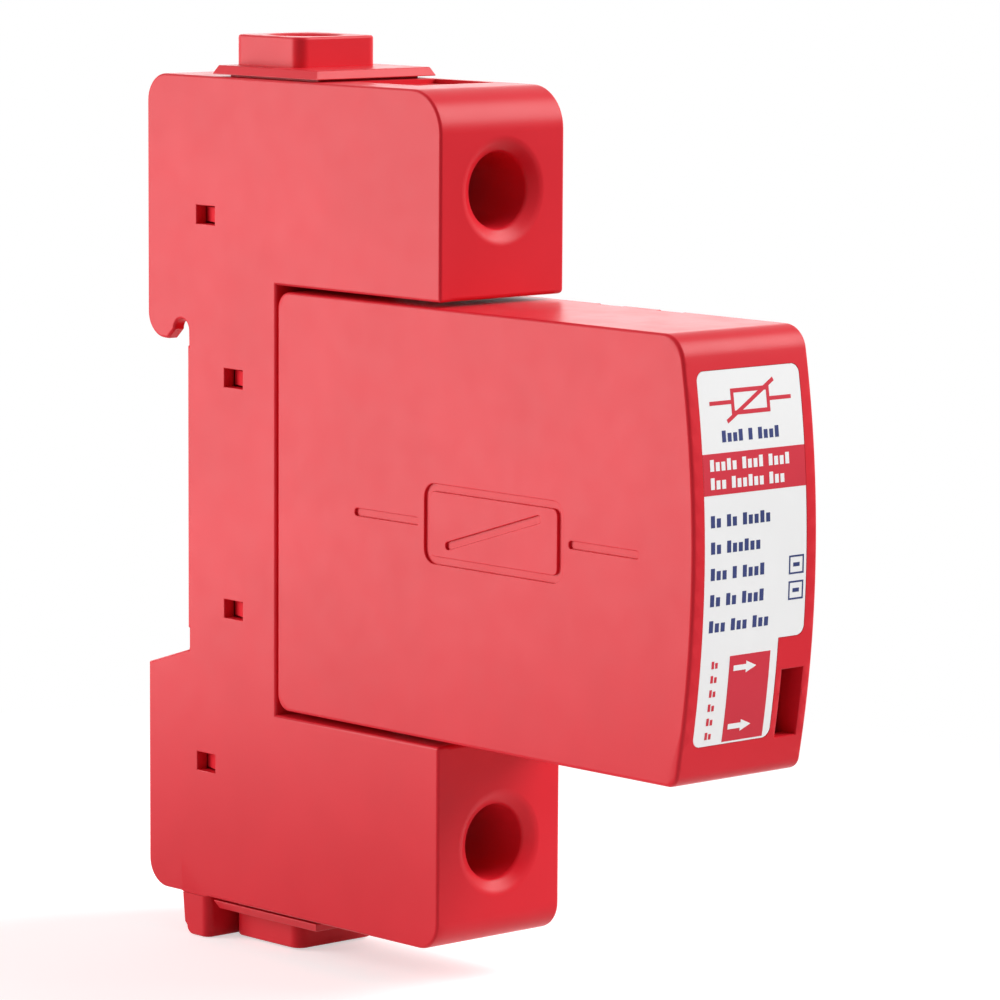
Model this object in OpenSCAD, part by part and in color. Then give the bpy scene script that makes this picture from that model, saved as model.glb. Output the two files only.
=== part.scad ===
// Plug-in surge arrester for a 35 mm DIN rail, one module wide.
// X runs across the module, the front faces -Y and Z is up.
// The origin is the middle of the rail, on the plane where the base sits on it.

/* [Base] */
// Width of the module
module_w = 17.5; // [17:0.1:19]
// Height of the base
body_h = 90; // [88:0.5:96]
// From the rail plane to the fronts of the two terminal towers
tower_d = 41.3; // [39:0.1:48]
// From the rail plane to the rear face
rear_d = 6.8; // [6:0.1:8]
// Clear height between the towers, where the cartridge plugs in
slot_h = 46.4; // [45:0.1:48]
// From the rail plane to the back of the cartridge slot
web_d = 15; // [14:0.1:17]
// Round of the upper front corner
front_top_r = 4.5; // [2:0.1:6]
// Round of the lower front corner
front_low_r = 3; // [1:0.1:5]
// Round of the two rear corners
rear_r = 3; // [1:0.1:3.5]
// Thickness of the left cover plate
cover_t = 1.4; // [1:0.1:1.6]
// Thickness of the right side wall
side_t = 1.4; // [1:0.1:1.8]
// Thickness of the top, bottom, front and rear walls
wall_t = 1.6; // [1.2:0.1:2]
// Thickness of the wall at the back of the cartridge slot
web_wall = 2.1; // [1.6:0.1:2.6]
// Depth of the busbar recess in the top and bottom walls
recess_t = 0.5; // [0.2:0.1:0.8]
// Length of the busbar recess towards the front
recess_l = 9.5; // [6:0.5:11]
// Width of the busbar recess
recess_w = 11; // [8:0.5:13]

/* [Rail] */
// Height of the rail that the base clips on
rail_h = 35; // [34:0.1:36]
// Thickness of the rail's edge
rail_t = 1; // [0.8:0.1:1.5]
// Room above the rail's upper edge
rail_room = 0.9; // [0.3:0.1:1.2]
// How far the hook reaches down behind the rail
hook_grip = 2.3; // [1.5:0.1:3]
// Gap behind the rail plane at the root of the hook
hook_root = 2.2; // [1.6:0.1:2.6]
// Gap behind the rail plane at the tip of the hook
hook_mouth = 3.4; // [2.6:0.1:3.8]
// Round of the hook's outer corner
hook_r = 2.8; // [1:0.1:3]
// Room below the rail's lower edge
lip_room = 0.4; // [0.3:0.1:1]
// Fall of the lower lip towards the rear
lip_fall = 2.1; // [0.5:0.1:3]
// Depth of the relief above and below the face that sits on the rail
seat_relief = 0.2; // [0.1:0.05:0.5]

/* [Snap windows] */
// Length of a window in the cover
window_l = 3.1; // [2.6:0.1:3.6]
// Height of a window in the cover
window_h = 2; // [1.6:0.1:2.4]
// Distance of the outer windows from the rail plane
outer_snap_y = 3.2; // [2.8:0.1:3.4]
// Distance of the outer windows below the middle of their tower
outer_snap_drop = 4.1; // [3:0.1:5]
// Distance of the inner windows from the rail plane
inner_snap_y = 7.9; // [6:0.1:9]
// Height of the inner windows above the middle
inner_snap_z = 12.6; // [11:0.1:14]
// Room round a snap nib in its window
snap_gap = 0.2; // [0.1:0.05:0.3]
// Thickness of a snap arm
snap_t = 1.1; // [0.8:0.1:1.2]

/* [Rail latch] */
// Width of the sliding bar
latch_w = 11; // [8:0.1:11.4]
// Thickness of the sliding bar
latch_t = 3.1; // [2.8:0.1:3.4]
// Running room round the bar in its guide
latch_gap = 0.3; // [0.2:0.05:0.4]
// How far the nose grips behind the rail
latch_grip = 1.5; // [1:0.1:2]
// Depth of the foot, front to rear
foot_d = 4.2; // [3:0.1:4.4]
// Height of the foot
foot_h = 4.6; // [3:0.1:6]
// Round of the foot's edges
foot_r = 1; // [0.5:0.1:1.5]
// Outer radius of the latch spring
latch_spring_r = 1.4; // [1:0.05:1.5]
// Length of the latch spring at rest
latch_spring_l = 10.5; // [8:0.1:12]
// Radius of the wire of both springs
wire_r = 0.25; // [0.15:0.05:0.3]

/* [Terminals] */
// Height of the terminal screws above the middle of their tower
screw_rise = 0.3; // [0:0.1:0.8]
// Radius of the screwdriver holes
access_r = 4; // [3.5:0.1:4.4]
// Radius of the funnel at the mouth of a screwdriver hole
funnel_r = 5.4; // [4.6:0.1:5.8]
// Depth of that funnel
funnel_d = 0.9; // [0.4:0.1:1.2]
// Wall of the tube behind a screwdriver hole
tunnel_t = 1.3; // [1:0.1:1.6]
// Distance of the cable's axis from the rail plane
cable_y = 9.65; // [9:0.05:10.5]
// Radius of the cable entry
cable_r = 3.4; // [2.5:0.1:3.5]
// Width of the terminal bar
bar_w = 8; // [7:0.1:8.2]
// Thickness of the terminal bar
bar_t = 1.5; // [1.2:0.1:1.8]
// Width of the terminal cage
cage_w = 11.5; // [11.2:0.1:11.7]
// Height of the terminal cage
cage_h = 9; // [8:0.1:10]
// Thickness of the cage's sides
cage_t = 1.5; // [1:0.1:1.55]
// Thickness of the cage's clamping wall
clamp_t = 1.2; // [1:0.1:1.5]
// Thickness of the cage's threaded wall
nut_t = 3; // [2:0.1:3.5]
// Open width of the clamp
clamp_open = 7; // [6.9:0.1:7.2]
// Space between the bar and the threaded wall
nut_space = 4; // [3:0.1:4.5]
// Travel of the cage when the screw is tightened
cage_travel = 4.8; // [3:0.1:5]
// Radius of the terminal screw
screw_r = 2.45; // [2:0.05:2.95]
// Radial play of the screw in its thread
thread_gap = 0.05; // [0.02:0.01:0.1]
// Radius of the screw's head
head_r = 3.7; // [3.2:0.1:3.9]
// Height of the screw's head
head_h = 3; // [2:0.1:3.5]
// Width of the cross slot in the head
cross_w = 1; // [0.8:0.1:1.4]
// Room in front of and behind the screw's head
head_gap = 0.8; // [0.5:0.1:1.2]

/* [Cable collars] */
// Width of the flange
flange_w = 16.8; // [15:0.1:17]
// Length of the flange, front to rear
flange_l = 17.3; // [15:0.1:17.5]
// Thickness of the flange
flange_t = 0.95; // [0.6:0.05:1.2]
// Slope of the flange's edge
flange_slope = 0.5; // [0.2:0.1:1]
// Height of the pedestal under the flange
pedestal_h = 0.25; // [0.2:0.05:0.8]
// How far the flange overhangs the pedestal
overhang = 1.4; // [0.5:0.1:2]
// Width of the hollow block
block_w = 11.2; // [9:0.1:12]
// Length of the hollow block, front to rear
block_l = 11; // [8.6:0.1:11.4]
// Height of the hollow block above the flange
block_h = 3.25; // [2:0.05:5]
// Round of the block's upright edges
block_r = 1.4; // [0.5:0.1:2]
// Depth of the lead-in round the cable entry
lead_in = 0.7; // [0.3:0.1:1]
// Room between the collar's plug and the wall that it passes through
plug_gap = 0.1; // [0.05:0.05:0.2]

/* [Cartridge] */
// From the rail plane to the crest of the cartridge's front
cartridge_d = 78.8; // [76:0.1:84]
// Room between the cartridge and the towers
cartridge_gap = 0.6; // [0.4:0.05:0.9]
// Room behind the plugged-in cartridge
rear_gap = 0.25; // [0.1:0.05:0.6]
// Radius of the curved front
crown_r = 115; // [100:1:160]
// Round of the upper front corner
crown_top_r = 2.8; // [1:0.1:3.5]
// Round of the lower front corner
crown_low_r = 1.5; // [0.5:0.1:3]
// Round of the rear corners
cartridge_rear_r = 1.8; // [0.5:0.1:2.5]
// Thickness of the cartridge's walls
shell_t = 1.8; // [1.5:0.1:2]
// Thickness of the cartridge's left side
shell_side_t = 1.5; // [1.2:0.1:1.6]
// Thickness of the lid
lid_t = 1.2; // [0.8:0.1:1.25]
// Width of the rim round the lid
rim_t = 1; // [0.8:0.1:1.2]
// Room between the lid and its rim
lid_gap = 0.1; // [0.05:0.05:0.15]
// Length of the lid's snap tabs
tab_l = 3.6; // [2:0.1:5]
// Distance of the first snap tab from the rail plane
first_tab_y = 49; // [46:0.5:51]
// Distance of the second snap tab from the rail plane
second_tab_y = 58; // [56:0.5:64]

/* [Front] */
// Width of the label
label_w = 14.3; // [13:0.1:15]
// Height of the label's upper edge above the middle
label_top = 18.9; // [17:0.1:19.5]
// Depth of the label's lower edge below the middle
label_low = 18.6; // [17:0.1:19.5]
// Thickness of the label, let into the front
label_t = 0.2; // [0.1:0.05:0.4]
// Round of the label's corners
label_r = 1; // [0.4:0.1:1.5]
// Depth below the middle where the label narrows beside the window
label_step_z = 8.4; // [7:0.1:9.5]
// Right edge of the label beside the window
label_step_x = 3.6; // [2.5:0.1:3.9]
// Width of the status window
status_w = 3; // [2.4:0.1:3.1]
// Height of the status window
status_h = 7; // [5:0.1:7.4]
// Middle of the status window, to the right of the centre
status_x = 6; // [5.6:0.1:6]
// Middle of the status window, below the centre
status_z = 15.3; // [14.5:0.1:15.6]

/* [Status flag] */
// Width of the flag
flag_w = 3.2; // [3.1:0.05:3.3]
// Thickness of the flag
flag_t = 1; // [0.6:0.1:1.2]
// Room round the flag
flag_gap = 0.35; // [0.3:0.05:0.5]
// Thickness of the plate behind the flag
indicator_t = 0.8; // [0.5:0.1:1]
// Outer radius of the flag spring
flag_spring_r = 1.3; // [1:0.05:1.4]
// Length of the arm from the flag towards the disconnector
flag_arm_l = 32; // [24:0.5:34]

/* [Plug contacts] */
// Thickness of a plug blade
blade_t = 1.2; // [1:0.1:1.4]
// Height of a plug blade
blade_h = 7.8; // [6:0.1:8]
// Height of the blades' middles above the centre
blade_z = 12.5; // [12:0.1:13]
// How far a blade stands out of the cartridge
blade_l = 10.6; // [8:0.1:11]
// Room between a blade and its fork, each side
fork_gap = 0.15; // [0.1:0.05:0.25]
// Thickness of the fork's sheet
fork_t = 0.8; // [0.5:0.1:1]
// Radius of a fork rivet
rivet_r = 1; // [0.7:0.05:1.2]

/* [Surge element] */
// Side of the square varistor block
varistor_w = 34; // [30:0.5:35]
// Thickness of the varistor block
varistor_t = 8; // [6:0.1:8.1]
// Distance of the varistor block from the cartridge's rear wall, inside
varistor_set = 6.6; // [6:0.1:9]
// Side of the square electrodes
electrode_w = 26; // [24:0.5:29]
// Thickness of the electrodes
electrode_t = 0.6; // [0.4:0.1:0.65]
// Thickness of the disconnector's tongue
tongue_t = 0.6; // [0.3:0.1:0.7]
// Radius of the solder joint
solder_r = 2; // [1:0.1:2.2]
// Thickness of the solder joint
solder_t = 1; // [0.5:0.1:1.1]

/* [Hidden] */
$fn = 64;

// Colours
red = [0.86, 0.16, 0.2];
flag_red = [0.7, 0.06, 0.08];
copper = [0.75, 0.45, 0.28];
brass = [0.8, 0.66, 0.35];
steel = [0.62, 0.63, 0.65];
coating = [0.16, 0.22, 0.42];
green = [0.12, 0.5, 0.25];
white = [0.95, 0.95, 0.94];

// How far a cutter passes the face that it cuts
over = 1;
// How far joined shapes run into each other
sink = 0.4;
// Gap between pieces that are seated on each other
seat_gap = 0.05;

// Base: outline and inner faces
half_w = module_w / 2;
top_z = body_h / 2;
slot_z = slot_h / 2;
tower_mid = (top_z + slot_z) / 2;
screw_z = tower_mid + screw_rise;
outer_snap_z = tower_mid - outer_snap_drop;
cover_in = -half_w + cover_t;
side_in = half_w - side_t;
core_w = side_in - cover_in;
rear_in = rear_d - wall_t;
front_in = -tower_d + wall_t;
chamber_top = top_z - wall_t;
chamber_low = slot_z + wall_t;
chamber_h = chamber_top - chamber_low;
web_in = -web_d + web_wall;
rib_h = 2;

// Rail pocket: the side plates carry the hook, the core between them is cut back
rail_top = rail_h / 2;
notch_z = rail_top + rail_room;
notch_r = (hook_root + seat_relief) / 2;
hook_tip = notch_z - hook_grip;
lip_z = -rail_top - lip_room;
lip_rear_z = lip_z - lip_fall;
latch_top = -rail_top + latch_grip;
seat_edge = 0.5;
seat_high = hook_tip - seat_edge;
seat_low = latch_top + seat_edge;
core_high = notch_z + wall_t;
core_low = lip_rear_z - wall_t / 2;

// Snap nibs on their arms
nib_l = window_l - 2 * snap_gap;
nib_h = window_h - 2 * snap_gap;
nib_x = -half_w + cover_t / 2;
arm_x = cover_in + snap_gap;

// Rail latch in its guide
guide_t = 1.2;
guide_front = 0.2;
latch_front = guide_front + latch_gap;
latch_rear = latch_front + latch_t;
guide_rear = latch_rear + latch_gap;
guide_wall = guide_front - guide_t;
nose_y = rail_t + latch_gap;
nose_t = 0.6;
foot_top = -top_z - seat_gap;
foot_low = foot_top - foot_h;
foot_rear = latch_front + latch_gap;
foot_front = foot_rear - foot_d;
foot_draft = 0.5;
neck_h = foot_h / 2;

// Latch spring between a lug of the base and the upper end of the bar's slot
spring_y = (latch_front + latch_rear) / 2;
bar_head = 2.5;
spring_top = core_low - bar_head;
spring_low = spring_top - latch_spring_l;
spring_slot_w = 2 * (latch_spring_r + latch_gap);
latch_turns = 7;
lug_h = 1.5;
lug_w = spring_slot_w - 2 * latch_gap;
spring_slot_low = spring_low - lug_h - latch_gap;

// Upper terminal; the lower one is its mirror image
bar_back = -cable_y - cable_r - seat_gap;
bar_front = bar_back - bar_t;
bar_end = 1.6;
plug_low = chamber_top - sink;
bar_top = plug_low - bar_end;
web_bar_back = web_in + bar_t;
bend_gap = 0.3;
bend_h = 2;
bend_low = chamber_low + bend_gap;
bend_high = bend_low + bend_h;
clamp_face = bar_back + clamp_open;
cage_rear = clamp_face + clamp_t;
nut_face = bar_front - nut_space;
cage_front = nut_face - nut_t;
cage_mid = (cage_front + cage_rear) / 2;
cage_r = 0.8;
head_under = cage_front - cage_travel - head_gap;
head_front = head_under - head_h;
tunnel_end = head_front - head_gap;
tunnel_l = tower_d + tunnel_end;
cross_d = head_h / 2;
cross_l = 1.5 * head_r;

// Cable collars
plug_l = block_l - 2 * plug_gap;
flange_rear = -cable_y + block_l / 2 + plug_gap;
flange_front = flange_rear - flange_l;
flange_z = top_z + pedestal_h;
block_z = flange_z + flange_t;
recess_gap = 1;
recess_rear = flange_front - recess_gap;

// Plug contacts
blade_edge = blade_z + blade_h / 2;
blade_low = blade_z - blade_h / 2;
blade_tip = 1;
slot_gap = 0.6;
fork_x = blade_t / 2 + fork_gap;
fork_over = 0.6;
fork_under = 0.5;
fork_past = 0.8;
tab_step = 0.5;
tab_gap = 0.9;
bar_set = 1.2;
rivet_edge = 0.5;
fork_top = blade_edge + fork_over;
fork_low = blade_low - fork_under;
fork_back = -web_d - rear_gap + blade_l + fork_past;
fork_tab_w = bar_w - 2 * tab_step;
fork_tab_top = chamber_low - tab_gap;
bar_low = fork_top + bar_set;
rivet_x = fork_tab_w / 2 - rivet_r - rivet_edge;
rivet_z = (bar_low + fork_tab_top) / 2;
rivet_head = 0.6;
rivet_head_r = 1.5 * rivet_r;

// Cartridge shell
cartridge_rear = -web_d - rear_gap;
cartridge_z = slot_z - cartridge_gap;
crown_y = -cartridge_d + crown_r;
shell_rear = cartridge_rear - shell_t;
shell_left = -half_w + shell_side_t;
floor_z = -cartridge_z + shell_t;
lid_in = half_w - lid_t;
lid_inset = rim_t + lid_gap;
tab_x = lid_in + lid_t / 3;
tab_z = cartridge_z - rim_t / 3;
least_r = 0.4;
crown_fn = 360;

// Status flag behind the front wall
flag_x = lid_in - flag_gap - flag_w;
flag_mid = flag_x + flag_w / 2;
flag_lift = 0.6;
flag_cover = 0.8;
flag_low = floor_z + flag_lift;
flag_top = -status_z + status_h / 2 + flag_cover;
flag_front = crown_y - sqrt(pow(crown_r - shell_t, 2) - pow(floor_z, 2)) + flag_gap;
flag_back = flag_front + flag_t;
shelf_t = 1.2;
shelf_low = flag_top - shelf_t;
indicator_front = flag_back + flag_gap;
indicator_back = indicator_front + indicator_t;
flag_spring_y = indicator_back + flag_gap + flag_spring_r;
flag_turns = 6;
shelf_back = flag_spring_y + flag_spring_r + flag_gap;
flag_arm_t = 1.2;
flag_arm_h = 2.5;
flag_arm_set = 0.4;
flag_arm_x = flag_x + flag_arm_set;
flag_arm_back = shelf_back + flag_arm_l;
finger_l = 2;
finger_h = 15;

// Surge element and disconnector
varistor_r = 3;
varistor_mid = shell_rear - varistor_set - varistor_w / 2;
electrode_rear = varistor_mid + electrode_w / 2;
left_x = shell_left + flag_gap;
varistor_x = left_x + electrode_t;
right_x = varistor_x + varistor_t;
solder_x = right_x + electrode_t;
tongue_x = solder_x + solder_t;
blade_foot_rear = shell_rear - varistor_set / 2;
blade_foot_front = blade_foot_rear - blade_t;
solder_edge = 0.3;
solder_set = 6;
solder_z = electrode_w / 2 - solder_r - solder_edge;
solder_y = electrode_rear - solder_r - solder_set;
tongue_h = 6;
tongue_end = 1;
tongue_tip = solder_y - solder_r - tongue_end;

// Extrudes an outline drawn in Y and Z across the module, from x over the width w
module across(x, w) {
  translate([x, 0, 0])
    rotate([90, 0, 90])
      linear_extrude(w)
        children();
}

// Extrudes an outline drawn in X and Z towards the front, from y over the depth d
module forward(y, d) {
  translate([0, y, 0])
    rotate([90, 0, 0])
      linear_extrude(d)
        children();
}

// A round rod towards the front, from y over the depth d
module rod_forward(r, y, d, x = 0, z = screw_z) {
  translate([x, y, z])
    rotate([90, 0, 0])
      cylinder(r = r, h = d);
}

// A box between two opposite corners
module box(low, high) {
  translate(low)
    cube(high - low);
}

// The upper shape and its mirror image at the lower end
module both_ends() {
  children();
  mirror([0, 0, 1])
    children();
}

// Cuts a round of radius r about the point c, between the unit directions a and b
module corner_cut(c, r, a, b) {
  far = r + over;
  stretch = 1.6 * far;
  difference() {
    polygon([c, c + far * a, c + stretch * (a + b), c + far * b]);
    translate(c)
      circle(r);
  }
}

// A rectangle with round corners, about its middle
module round_rect(w, h, r) {
  difference() {
    square([w, h], center = true);
    for (i = [-1, 1], j = [-1, 1])
      corner_cut([i * (w / 2 - r), j * (h / 2 - r)], r, [i, 0], [0, j]);
  }
}

// The block that the base is cut from, seen from the side
module base_block() {
  difference() {
    translate([-tower_d, -top_z])
      square([tower_d + rear_d, body_h]);
    for (s = [-1, 1])
      corner_cut([rear_d - rear_r, s * (top_z - rear_r)], rear_r, [1, 0], [0, s]);
    corner_cut([front_top_r - tower_d, top_z - front_top_r], front_top_r, [-1, 0], [0, 1]);
    corner_cut([front_low_r - tower_d, front_low_r - top_z], front_low_r, [-1, 0], [0, -1]);
  }
}

// The slot for the cartridge, seen from the side
module cartridge_slot() {
  translate([-tower_d - over, -slot_z])
    square([tower_d - web_d + over, slot_h]);
}

// Side plate of the base, with the rail pocket and its hook
module side_profile() {
  past = rear_d + over;
  past_lip = lip_z - lip_fall * past / rear_d;
  difference() {
    base_block();
    cartridge_slot();
    polygon([
      [-seat_relief, lip_z], [0, lip_z], [past, past_lip], [past, hook_tip],
      [hook_mouth, hook_tip], [hook_root, notch_z - notch_r], [-seat_relief, notch_z - notch_r],
      [-seat_relief, seat_high], [0, seat_high], [0, seat_low], [-seat_relief, seat_low]
    ]);
    translate([hook_root - notch_r, notch_z - notch_r])
      circle(notch_r);
    corner_cut([rear_d - hook_r, hook_tip + hook_r], hook_r, [1, 0], [0, -1]);
  }
}

// Core of the base between the side plates
module core_profile() {
  difference() {
    base_block();
    cartridge_slot();
    polygon([
      [-seat_relief, core_low], [rear_d + over, core_low], [rear_d + over, core_high],
      [-seat_relief, core_high], [-seat_relief, seat_high], [0, seat_high], [0, seat_low],
      [-seat_relief, seat_low]
    ]);
  }
}

// Hollows of the core: two terminal chambers and the contact chamber behind the slot
module core_hollow() {
  translate([front_in, chamber_low])
    square([rear_in - front_in, chamber_h]);
  translate([web_in, core_high + wall_t])
    square([rear_in - web_in, chamber_top - core_high - wall_t]);
  translate([web_in, -chamber_low - sink])
    square([-wall_t - web_in, 2 * chamber_low + sink + sink]);
  translate([front_in, -chamber_top])
    square([guide_wall - front_in, chamber_h]);
}

// A snap arm from the wall at y_wall with a ramped nib in the window at y and z
module snap_arm(y_wall, y, z) {
  y_end = y + sign(y - y_wall) * nib_l / 2;
  box(
    [arm_x, min(y_wall, y_end), z - nib_h / 2],
    [arm_x + snap_t, max(y_wall, y_end), z + nib_h / 2]
  );
  translate([0, 0, z - nib_h / 2])
    linear_extrude(nib_h)
      polygon([
        [arm_x + sink, y - nib_l / 2], [nib_x, y - nib_l / 2], [nib_x, y - nib_l / 2 + sink],
        [cover_in, y + nib_l / 2], [arm_x + sink, y + nib_l / 2]
      ]);
}

// The moulded core: walls, screwdriver tubes, a middle rib and the snap arms
module base_core() {
  difference() {
    across(cover_in, core_w + sink)
      core_profile();
    across(cover_in - over, core_w + over)
      core_hollow();
  }
  both_ends() {
    rod_forward(access_r + tunnel_t, tunnel_end, tunnel_l - wall_t / 2);
    snap_arm(web_in - sink, -inner_snap_y, inner_snap_z);
  }
  snap_arm(rear_in + sink, -outer_snap_y, outer_snap_z);
  snap_arm(guide_wall + sink, -outer_snap_y, -outer_snap_z);
  box([cover_in, web_in - sink, -rib_h / 2], [side_in + sink, -wall_t + sink, rib_h / 2]);
}

// Screwdriver hole with its funnel, cable opening, busbar recess and blade slot
module upper_openings() {
  spread = (funnel_r - access_r) / funnel_d;
  rod_forward(access_r, tunnel_end + over, tunnel_l + 2 * over);
  translate([0, -tower_d + funnel_d, screw_z])
    rotate([90, 0, 0])
      cylinder(r1 = access_r, r2 = funnel_r + over * spread, h = funnel_d + over);
  translate([0, -cable_y, chamber_top - over])
    linear_extrude(wall_t + 2 * over)
      square([block_l, block_l], center = true);
  translate([side_in - recess_w, recess_rear - recess_l, top_z - recess_t])
    cube([recess_w, recess_l, recess_t + over]);
  box(
    [-blade_t / 2 - slot_gap, -web_d - over, blade_low - slot_gap],
    [blade_t / 2 + slot_gap, web_in + over, blade_edge + slot_gap]
  );
}

module base_housing() {
  guide_w = latch_w + 2 * latch_gap;
  color(red) {
    difference() {
      union() {
        across(side_in, side_t)
          side_profile();
        base_core();
      }
      both_ends()
        upper_openings();
      box([-guide_w / 2, guide_front, -top_z - over], [guide_w / 2, guide_rear, core_low + over]);
    }
    box(
      [-lug_w / 2, guide_front - sink, spring_low - lug_h],
      [lug_w / 2, guide_rear + sink, spring_low]
    );
  }
}

module base_cover() {
  color(red)
    difference() {
      across(-half_w, cover_t)
        side_profile();
      for (s = [-1, 1], p = [[outer_snap_y, outer_snap_z], [inner_snap_y, inner_snap_z]])
        translate([-half_w + cover_t / 2, -p[0], s * p[1]])
          cube([cover_t + 2 * over, window_l, window_h], center = true);
    }
}

// Pull foot of the rail latch, as wide as the module
module latch_foot() {
  intersection() {
    across(-half_w, module_w)
      difference() {
        polygon([
          [foot_front, foot_top], [foot_rear, foot_top], [foot_rear - foot_draft, foot_low],
          [foot_front, foot_low]
        ]);
        corner_cut([foot_rear - foot_draft - foot_r, foot_low + foot_r], foot_r, [1, 0], [0, -1]);
      }
    translate([0, 0, foot_low])
      linear_extrude(foot_h)
        difference() {
          translate([-half_w, foot_front])
            square([module_w, foot_d]);
          for (s = [-1, 1])
            corner_cut([s * (half_w - foot_r), foot_front + foot_r], foot_r, [s, 0], [0, -1]);
        }
  }
}

module rail_latch() {
  color(red) {
    difference() {
      across(-latch_w / 2, latch_w)
        polygon([
          [foot_front + foot_r, foot_top - neck_h], [foot_front + foot_r, foot_top],
          [latch_front, foot_top], [latch_front, lip_z], [nose_y, lip_z], [nose_y, latch_top],
          [nose_y + nose_t, latch_top], [latch_rear, lip_z - nose_t], [latch_rear, foot_top - neck_h]
        ]);
      box(
        [-spring_slot_w / 2, latch_front - over, spring_slot_low],
        [spring_slot_w / 2, latch_rear + over, spring_top]
      );
    }
    latch_foot();
  }
}

// A coil of round wire along Z, from z over the length, about x and y
module coil(x, y, z, length, r, turns) {
  sides = 6;
  steps = 12 * turns;
  pitch = (length - 2 * wire_r) / turns;
  points = [
    for (i = [0:steps], j = [0:sides - 1])
      let (
        turn = 360 * turns * i / steps,
        side = 360 * j / sides,
        reach = r - wire_r + wire_r * cos(side)
      )
      [reach * cos(turn), reach * sin(turn), wire_r + pitch * turns * i / steps + wire_r * sin(side)]
  ];
  walls = [
    for (i = [0:steps - 1], j = [0:sides - 1])
      let (a = i * sides + j, b = i * sides + (j + 1) % sides)
      [a, a + sides, b + sides, b]
  ];
  first_cap = [for (j = [0:sides - 1]) j];
  last_cap = [for (j = [sides - 1:-1:0]) steps * sides + j];
  translate([x, y, z])
    polyhedron(points, concat(walls, [first_cap, last_cap]));
}

module latch_spring() {
  color(steel)
    coil(0, spring_y, spring_low + seat_gap, latch_spring_l - 2 * seat_gap, latch_spring_r, latch_turns);
}

// Flange with sloping edges, hollow block and the plug that seats in the wall
module cable_collar() {
  side_edge = flange_w / 2;
  difference() {
    union() {
      box(
        [overhang - side_edge, flange_front + overhang, top_z],
        [side_edge - overhang, flange_rear - overhang, flange_z + flange_t / 2]
      );
      intersection() {
        across(-side_edge, flange_w)
          polygon([
            [flange_front, flange_z], [flange_rear, flange_z],
            [flange_rear - flange_slope, block_z], [flange_front + flange_slope, block_z]
          ]);
        forward(flange_rear, flange_l)
          polygon([
            [-side_edge, flange_z], [side_edge, flange_z],
            [side_edge - flange_slope, block_z], [flange_slope - side_edge, block_z]
          ]);
      }
      translate([0, -cable_y, flange_z])
        linear_extrude(flange_t + block_h)
          round_rect(block_w, block_l, block_r);
      translate([0, -cable_y, plug_low])
        linear_extrude(flange_z - plug_low + flange_t / 2)
          round_rect(plug_l, plug_l, block_r);
    }
    translate([0, -cable_y, plug_low - over])
      cylinder(r = cable_r, h = block_z + block_h - plug_low + 2 * over);
    translate([0, -cable_y, block_z + block_h - lead_in])
      cylinder(r1 = cable_r, r2 = cable_r + lead_in + over, h = lead_in + over);
  }
}

module upper_cable_collar() {
  color(red)
    cable_collar();
}

module lower_cable_collar() {
  color(red)
    mirror([0, 0, 1])
      cable_collar();
}

// Folded cage with its threaded wall towards the front
module terminal_cage() {
  difference() {
    translate([0, cage_mid, screw_z - cage_h / 2])
      linear_extrude(cage_h)
        round_rect(cage_w, cage_rear - cage_front, cage_r);
    box(
      [cage_t - cage_w / 2, nut_face, screw_z - cage_h / 2 - over],
      [cage_w / 2 - cage_t, clamp_face, screw_z + cage_h / 2 + over]
    );
    rod_forward(screw_r + thread_gap, nut_face + over, nut_t + 2 * over);
  }
}

module upper_terminal_cage() {
  color(steel)
    terminal_cage();
}

module lower_terminal_cage() {
  color(steel)
    mirror([0, 0, 1])
      terminal_cage();
}

// Screw with a cross slot, its tip on the terminal bar
module terminal_screw() {
  tip = bar_front - seat_gap;
  difference() {
    union() {
      rod_forward(screw_r, tip, tip - head_under + sink);
      rod_forward(head_r, head_under, head_h);
    }
    for (a = [0, 90])
      translate([0, head_front, screw_z])
        rotate([0, a, 0])
          cube([cross_l, 2 * cross_d, cross_w], center = true);
  }
}

module upper_terminal_screw() {
  color(steel)
    terminal_screw();
}

module lower_terminal_screw() {
  color(steel)
    mirror([0, 0, 1])
      terminal_screw();
}

// Holes or shanks of the two rivets, over a depth from y
module rivet_pair(r, y, d) {
  for (s = [-1, 1])
    rod_forward(r, y, d, s * rivet_x, rivet_z);
}

// Bar that runs from the clamp down to the contact, with a step between the two
module terminal_bar() {
  step = 0.4;
  difference() {
    across(-bar_w / 2, bar_w)
      polygon([
        [web_in, bar_low], [web_in, bend_low], [bar_front, bend_high], [bar_front, bar_top],
        [bar_back, bar_top], [bar_back, bend_high + step], [web_bar_back, bend_low + step],
        [web_bar_back, bar_low]
      ]);
    rivet_pair(rivet_r + seat_gap, web_bar_back + over, bar_t + 2 * over);
  }
}

module upper_terminal_bar() {
  color(copper)
    terminal_bar();
}

module lower_terminal_bar() {
  color(copper)
    mirror([0, 0, 1])
      terminal_bar();
}

// Folded fork: a riveted tab and two leaves on either side of the blade
module contact_fork() {
  outer = fork_x + fork_t;
  difference() {
    union() {
      box(
        [-fork_tab_w / 2, web_bar_back, fork_top],
        [fork_tab_w / 2, web_bar_back + fork_t, fork_tab_top]
      );
      difference() {
        box([-outer, web_bar_back, fork_low], [outer, fork_back, fork_top + fork_t]);
        box([-fork_x, web_bar_back - over, fork_low - over], [fork_x, fork_back + over, fork_top]);
      }
    }
    rivet_pair(rivet_r + seat_gap, web_bar_back + fork_t + over, fork_t + 2 * over);
  }
}

module upper_contact_fork() {
  color(brass)
    contact_fork();
}

module lower_contact_fork() {
  color(brass)
    mirror([0, 0, 1])
      contact_fork();
}

module fork_rivets() {
  back = web_bar_back + fork_t;
  rivet_pair(rivet_r, back, bar_t + fork_t);
  rivet_pair(rivet_head_r, back + rivet_head, rivet_head);
}

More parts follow.
